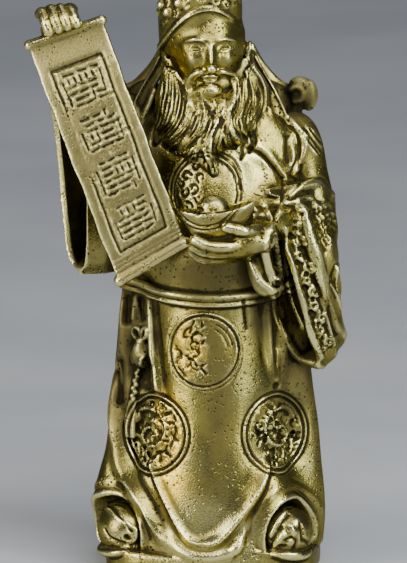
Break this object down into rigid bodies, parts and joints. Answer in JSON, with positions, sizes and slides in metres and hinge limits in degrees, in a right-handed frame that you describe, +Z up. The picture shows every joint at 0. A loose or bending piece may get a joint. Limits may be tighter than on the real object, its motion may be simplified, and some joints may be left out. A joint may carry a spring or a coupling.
{
  "type": "caishen figure",
  "caption": "Standing robed and bearded figure in cast brass, one hand raising a hanging scroll, the other holding a boat-shaped ingot, on its own low base.",
  "frame": {"origin": "on the underside of the low base, below the robe's centre line", "axes": "+Z up, -Y the way the figure faces, +X to the right of someone facing the figure"},
  "size_m": [0.0577, 0.0377, 0.112],
  "materials": {
    "cast_brass": "aged cast brass: rubbed yellow heights, olive brown skin and near black hollows"
  },
  "bodies": {
    "root": {"caishen_figure": "cast_brass"}
  },
  "joints": []
}
